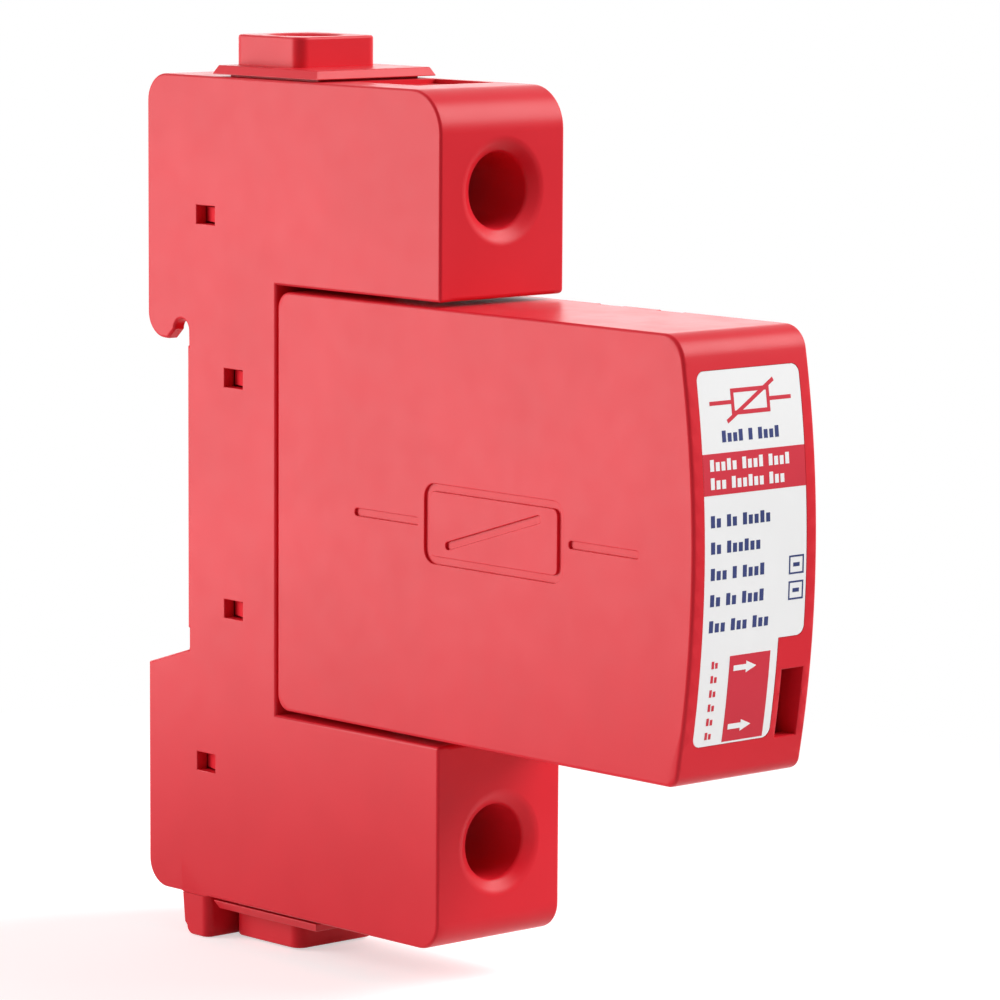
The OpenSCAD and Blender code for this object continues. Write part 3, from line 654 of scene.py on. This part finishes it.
def engrave_symbol(bm):
    """Cuts the circuit symbol of a surge element into the left side, as fine grooves."""
    side = [f for f in bm.faces if all(at(v.co.x, cart_low.x) for v in f.verts)]
    around = [e for f in side for e in f.edges]
    bmesh.ops.delete(bm, geom=side, context="FACES_ONLY")
    block = side_panel(bm, symbol_middle, block_length, block_width, block_corner)
    grooves = bmesh.ops.inset_individual(bm, faces=[block], thickness=groove_width)["faces"]
    around += [e for f in grooves for e in f.edges if e.is_boundary]
    within = list(block.edges)
    bmesh.ops.delete(bm, geom=[block], context="FACES_ONLY")
    slant = side_panel(bm, symbol_middle, slant_length, groove_width, groove_corner, slant_lean)
    within += slant.edges
    grooves.append(slant)
    run = lead_length - lead_gap
    for way in (-1, 1):
        reach = way * (block_length + lead_length + lead_gap) / 2
        lead = side_panel(bm, symbol_middle + reach, run, groove_width, groove_corner)
        around += lead.edges
        grooves.append(lead)
    fill_round(bm, around)
    fill_round(bm, within)
    rims = {e for f in grooves for e in f.edges}
    sunk = bmesh.ops.extrude_face_region(bm, geom=[*grooves, *rims])["geom"]
    floor = [v for v in sunk if isinstance(v, bmesh.types.BMVert)]
    bmesh.ops.translate(bm, vec=(groove_depth, 0, 0), verts=floor)


shell = welded_copy("cartridge_housing")
fair_crown(shell, 0, label_bed)
engrave_symbol(shell)
shell_edges = corners(shell, lambda p: at(p.x, cart_low.x) and past_rim(p))
shell_edges += corners(shell, lambda p: at(p.x, cart_high.x) and past_rim(p))
round_off(shell, shell_edges, cartridge_round)
round_off(shell, corners(shell, on_engraving), groove_round, segments=2)
round_off(shell, corners(shell, on_status_window), status_round, segments=2)
engraved = finished(
    "cartridge_moulding", shell, red_plastic, "cartridge", "red_plastic", "cartridge_housing"
)
keep_flat(engraved, on_engraving)


# Cartridge lid
# The right side of the cartridge, a flat moulding in the same red. It closes the shell over the
# surge element and snaps into the rim with four tabs.
lid_round = 0.15 * MM
lid_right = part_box("cartridge_lid")[1].x
lid = welded_copy("cartridge_lid")
round_off(lid, corners(lid, lambda p: at(p.x, lid_right)), lid_round, segments=2)
finished("lid_moulding", lid, red_plastic, "cartridge", "red_plastic", "cartridge_lid")


# Front label
# Satin white film, die cut with a step beside the window and stuck into its bed. It is printed
# in two inks, red and dark blue, and what stays white is bare film.
ink_t = 0.02 * MM
label_set = 0.03 * MM
label_back = 0.15 * MM
film_dark = (0.90, 0.90, 0.90)
film_light = (0.93, 0.93, 0.93)
ink_red_deep = (0.62, 0.03, 0.05)
ink_red_light = (0.68, 0.035, 0.06)
ink_blue_deep = (0.03, 0.045, 0.16)
ink_blue_light = (0.045, 0.06, 0.2)
# Places and sizes of the print in millimetres, across and up from the middle of the front
half_label = 7.15
sign_reach = 2.7
sign_end = 5.7
sign_low, sign_high = 14.4, 17.0
sign_line = 0.42
lead_low, lead_high = 15.5, 15.9
slash_start, slash_end = (-3.4, 13.8), (3.4, 17.6)
large_mark = 1.15
title_left, title_middle = -4.3, 12.4
title_words = (4, 1, 4)
band_low, band_high = 6.7, 10.8
band_left = -6.2
band_rows = ((9.65, (5, 4, 4)), (7.85, (3, 6, 3)))
value_left, value_top = -6.3, 4.1
value_pitch = 2.62
value_mark = 1.2
value_rows = ((2, 2, 5), (2, 6), (3, 1, 4), (2, 2, 4), (3, 3, 3))
square_left, square_right = 4.7, 6.8
square_lows = (-2.1, -4.7)
square_height = 1.9
square_line = 0.18
dash_left, dash_right = 5.3, 6.2
dash_low, dash_high = 0.75, 1.15
field_left, field_right = -3.1, 2.6
field_low, field_high = -18.4, -9.6
arrow_left, arrow_right = -2.5, 0.7
arrow_middles = (-10.9, -16.9)
arrow_shaft = 0.55
arrow_head = 1.2
index_left, index_top = -5.6, -10.3
index_pitch = 1.45
index_mark = 0.75
index_rows = 6
tall_every = 3
# Shares of a mark's height, and the length of an arrow's tip in widths of its head
mark_width = 0.46
mark_pitch = 0.68
low_mark = 0.76
word_gap = 0.5
tip_length = 1.2
label_film = moulded_plastic("label_film", film_dark, film_light, rough=0.45, gloss=0.25)
red_ink = moulded_plastic("red_ink", ink_red_deep, ink_red_light, rough=0.45, gloss=0.2)
blue_ink = moulded_plastic("blue_ink", ink_blue_deep, ink_blue_light, rough=0.45, gloss=0.2)

label = welded_copy("front_label")
fair_crown(label, 0, label_back)
for v in label.verts:
    if from_crown(v.co) > -label_set:
        v.co.y += label_set
finished("label_film_sheet", label, label_film, "cartridge", "label_film", "front_label")


def bar(bm, left, right, low, high):
    """A filled rectangle of the print, in millimetres on the label."""
    rows = max(1, math.ceil(high - low))
    made = bmesh.ops.create_grid(bm, x_segments=2, y_segments=rows, size=0.5)["verts"]
    size = Matrix.Diagonal(((right - left) * MM, (high - low) * MM, 1, 1))
    place = Matrix.Translation(((left + right) / 2 * MM, 0, (low + high) / 2 * MM))
    stand = Matrix.Rotation(math.radians(90), 4, "X")
    bmesh.ops.transform(bm, matrix=place @ stand @ size, verts=made)


def outline(bm, left, right, low, high, line):
    """A rectangle of lines."""
    bar(bm, left, right, low, low + line)
    bar(bm, left, right, high - line, high)
    bar(bm, left, left + line, low + line, high - line)
    bar(bm, right - line, right, low + line, high - line)


def arrow(bm, left, right, middle, shaft, head):
    """An arrow that points right."""
    neck = right - tip_length * head
    bar(bm, left, neck, middle - shaft / 2, middle + shaft / 2)
    tip = [(neck, middle - head / 2), (right, middle), (neck, middle + head / 2)]
    bm.faces.new([bm.verts.new((x * MM, 0, z * MM)) for x, z in tip])


def stroke(bm, start, end, line):
    """A straight line of the print between two places."""
    run = Vector(end) - Vector(start)
    middle = (Vector(start) + Vector(end)) / 2
    made = bmesh.ops.create_grid(bm, x_segments=4, y_segments=1, size=0.5)["verts"]
    size = Matrix.Diagonal((run.length * MM, line * MM, 1, 1))
    lean = Matrix.Rotation(math.atan2(run.y, run.x), 4, "Z")
    place = Matrix.Translation((middle.x * MM, 0, middle.y * MM))
    stand = Matrix.Rotation(math.radians(90), 4, "X")
    bmesh.ops.transform(bm, matrix=place @ stand @ lean @ size, verts=made)


def marks(bm, left, middle, height, words):
    """A row of small blocks in groups, as plain as print seen from afar."""
    low = middle - height / 2
    for word in words:
        for place in range(word):
            tall = height if place % tall_every == 0 else low_mark * height
            bar(bm, left, left + mark_width * height, low, low + tall)
            left += mark_pitch * height
        left += word_gap * height


def printed(name, bm, finish, layer):
    """Lays a print on the curved label as a thin coat of ink."""
    radius = crown_r - label_set + layer * ink_t
    for v in bm.verts:
        v.co.y = crown_axis - math.sqrt(radius**2 - v.co.z**2)
    bmesh.ops.recalc_face_normals(bm, faces=bm.faces)
    for f in bm.faces:
        if f.normal.y > 0:
            f.normal_flip()
    coat = bmesh.ops.extrude_face_region(bm, geom=bm.faces)["geom"]
    lifted = [v for v in coat if isinstance(v, bmesh.types.BMVert)]
    bmesh.ops.translate(bm, vec=(0, -ink_t, 0), verts=lifted)
    bmesh.ops.recalc_face_normals(bm, faces=bm.faces)
    return finished(name, bm, finish, "cartridge", "label_film")


reds = bmesh.new()
bar(reds, -half_label, half_label, band_low, band_high)
bar(reds, field_left, field_right, field_low, field_high)
for row in range(index_rows):
    marks(reds, index_left, index_top - index_pitch * row, index_mark, (2,))
outline(reds, -sign_reach, sign_reach, sign_low, sign_high, sign_line)
bar(reds, -sign_end, -sign_reach, lead_low, lead_high)
bar(reds, sign_reach, sign_end, lead_low, lead_high)
stroke(reds, slash_start, slash_end, sign_line)
printed("label_print_red", reds, red_ink, layer=0)

blues = bmesh.new()
marks(blues, title_left, title_middle, large_mark, title_words)
for row, words in enumerate(value_rows):
    marks(blues, value_left, value_top - value_pitch * row, value_mark, words)
for low in square_lows:
    outline(blues, square_left, square_right, low, low + square_height, square_line)
    bar(blues, dash_left, dash_right, low + dash_low, low + dash_high)
printed("label_print_blue", blues, blue_ink, layer=0)

whites = bmesh.new()
for middle, words in band_rows:
    marks(whites, band_left, middle, large_mark, words)
for middle in arrow_middles:
    arrow(whites, arrow_left, arrow_right, middle, arrow_shaft, arrow_head)
printed("label_print_white", whites, label_film, layer=1)


# Status flag, indicator plate and flag spring
# The moulded red flag stands behind the window until the disconnector lets go of its arm. A
# small coiled spring on the cartridge's floor then pushes it up, and the green plate shows.
flag_deep = (0.42, 0.006, 0.012)
flag_light = (0.47, 0.008, 0.015)
green_deep = (0.02, 0.25, 0.07)
green_light = (0.03, 0.30, 0.09)
flag_turns = 6
flag_plastic = moulded_plastic("flag_plastic", flag_deep, flag_light, rough=0.45, gloss=0.35)
green_plastic = moulded_plastic("green_plastic", green_deep, green_light, rough=0.45, gloss=0.35)
tumbled("status_flag", flag_plastic, "flag", "flag_plastic")
tumbled("indicator_plate", green_plastic, "cartridge", "green_plastic")
flag_coil = finished(
    "flag_coil",
    coil_spring("flag_spring", flag_turns),
    spring_steel,
    None,
    "spring_steel",
    "flag_spring",
)
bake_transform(flag_coil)


# Surge element and disconnector
# A square zinc oxide block dipped in blue epoxy, with a brass plate on each face. A copper
# tongue, held to the right plate by low-melting solder, springs off when the block overheats.
epoxy_deep = (0.035, 0.07, 0.22)
epoxy_light = (0.05, 0.095, 0.27)
epoxy_round = 1.3 * MM
solder_dark = (0.60, 0.60, 0.59)
solder_light = (0.74, 0.74, 0.72)
solder_grain = 0.5 * MM
solder_round = 0.3 * MM
varistor_coating = moulded_plastic(
    "varistor_coating", epoxy_deep, epoxy_light, rough=0.3, gloss=0.5
)
solder_metal = rolled_metal("solder", solder_dark, solder_light, rough=0.34, grain=solder_grain)
tumbled(
    "varistor_block", varistor_coating, "cartridge", "varistor_coating", epoxy_round, segments=5
)
for plate in ("left_electrode", "right_electrode"):
    tumbled(plate, fork_brass, "cartridge", "fork_brass")
for blade in ("upper_plug_blade", "lower_plug_blade", "disconnect_tongue"):
    tumbled(blade, copper, "cartridge", "copper")
tumbled("solder_joint", solder_metal, "cartridge", "solder", solder_round, segments=3)


# Studio
# A pale floor under the object and white all round, three soft boxes, and the camera at the
# photograph's angle.
whole_range = (0, 1)
ambient = 0.25
studio_middle = -0.03
floor_reach = 0.17
floor_sides = 96
floor_gap = 0.05 * MM
floor_white = 0.8
floor_glow = 0.55
fade_start = 0.05
fade_end = 0.16


def reckon(tree, operation, first, second):
    """Works out one value of a node tree from two others."""
    result = tree.nodes.new("ShaderNodeMath")
    result.operation = operation
    tree.links.new(first, result.inputs[0])
    tree.links.new(second, result.inputs[1])
    return result.outputs[0]


def seen_ways(tree):
    """1 for rays from the camera, or off a glossy or through a clear surface, or else 0."""
    path = tree.nodes.new("ShaderNodeLightPath")
    direct = reckon(
        tree, "MAXIMUM", path.outputs["Is Camera Ray"], path.outputs["Is Glossy Ray"]
    )
    return reckon(tree, "MAXIMUM", direct, path.outputs["Is Transmission Ray"])


world = bpy.data.worlds.new("studio")
bpy.context.scene.world = world
world.use_nodes = True
tree = world.node_tree
sky = tree.nodes["Background"]
sky.inputs["Color"].default_value = (1, 1, 1, 1)
sky_level = spread(tree, seen_ways(tree), ambient, 1, whole_range)
tree.links.new(sky_level, sky.inputs["Strength"])

floor_mesh = bmesh.new()
bmesh.ops.create_circle(
    floor_mesh,
    cap_ends=True,
    segments=floor_sides,
    radius=floor_reach,
    matrix=Matrix.Translation((0, studio_middle, cad_box[0].z - floor_gap)),
)
floor_data = bpy.data.meshes.new("floor")
floor_mesh.to_mesh(floor_data)
floor_mesh.free()
floor = bpy.data.objects.new("floor", floor_data)
bpy.context.scene.collection.objects.link(floor)

paper = bpy.data.materials.new("white_paper")
paper.use_nodes = True
tree = paper.node_tree
tree.nodes.clear()
seen = seen_ways(tree)
sheet = tree.nodes.new("ShaderNodeBsdfDiffuse")
sheet.inputs["Color"].default_value = (floor_white, floor_white, floor_white, 1)
glow = tree.nodes.new("ShaderNodeEmission")
tree.links.new(spread(tree, seen, 0, floor_glow, whole_range), glow.inputs["Strength"])
lit = tree.nodes.new("ShaderNodeAddShader")
tree.links.new(sheet.outputs[0], lit.inputs[0])
tree.links.new(glow.outputs[0], lit.inputs[1])
place = tree.nodes.new("ShaderNodeTexCoord")
length = tree.nodes.new("ShaderNodeVectorMath")
length.operation = "LENGTH"
tree.links.new(place.outputs["Object"], length.inputs[0])
fade = tree.nodes.new("ShaderNodeMapRange")
fade.interpolation_type = "SMOOTHSTEP"
fade.inputs["From Min"].default_value = fade_start
fade.inputs["From Max"].default_value = fade_end
tree.links.new(length.outputs["Value"], fade.inputs["Value"])
faded = reckon(tree, "MULTIPLY", fade.outputs["Result"], seen)
white = tree.nodes.new("ShaderNodeEmission")
mixed = tree.nodes.new("ShaderNodeMixShader")
tree.links.new(faded, mixed.inputs["Fac"])
tree.links.new(lit.outputs[0], mixed.inputs[1])
tree.links.new(white.outputs[0], mixed.inputs[2])
output = tree.nodes.new("ShaderNodeOutputMaterial")
tree.links.new(mixed.outputs[0], output.inputs["Surface"])
floor_data.materials.append(paper)


def soft_box(name, place, size, power):
    """A large soft lamp turned to the middle of the object."""
    lamp = bpy.data.lights.new(name, "AREA")
    lamp.shape = "RECTANGLE"
    lamp.size, lamp.size_y = size
    lamp.energy = power
    stand = bpy.data.objects.new(name, lamp)
    bpy.context.scene.collection.objects.link(stand)
    stand.location = place
    towards = Vector((0, studio_middle, 0)) - Vector(place)
    stand.rotation_euler = towards.to_track_quat("-Z", "Y").to_euler()


soft_box("left_rear_box", place=(-0.72, 0.64, 0.12), size=(0.6, 0.9), power=10.6)
soft_box("right_front_box", place=(0.75, -0.65, 0.72), size=(0.8, 0.8), power=16.2)
soft_box("right_rear_box", place=(0.55, 0.62, 0.14), size=(0.9, 0.3), power=1.5)

yaw = math.radians(42.501)
pitch = math.radians(7.443)
roll = math.radians(0.346)
focal_px = 5248.3
frame_px = 1000
sensor = 36
aim = Vector((0, -30 * MM, 0.4 * MM))
back_mm, right_mm, up_mm = 556.995, 7.474, 0.55
level_reach = math.cos(pitch)
back = Vector((-math.sin(yaw) * level_reach, -math.cos(yaw) * level_reach, math.sin(pitch)))
level_right = Vector((math.cos(yaw), -math.sin(yaw), 0))
level_up = back.cross(level_right)
right = level_right * math.cos(roll) + level_up * math.sin(roll)
up = level_up * math.cos(roll) - level_right * math.sin(roll)
eye = aim + back * back_mm * MM + level_right * right_mm * MM + level_up * up_mm * MM
camera_data = bpy.data.cameras.new("camera")
camera_data.lens = focal_px / frame_px * sensor
camera_data.sensor_width = sensor
camera = bpy.data.objects.new("camera", camera_data)
camera.matrix_world = Matrix(
    (
        (right.x, up.x, back.x, eye.x),
        (right.y, up.y, back.y, eye.y),
        (right.z, up.z, back.z, eye.z),
        (0, 0, 0, 1),
    )
)
bpy.context.scene.collection.objects.link(camera)
bpy.context.scene.camera = camera
bpy.context.scene.view_settings.view_transform = "Standard"
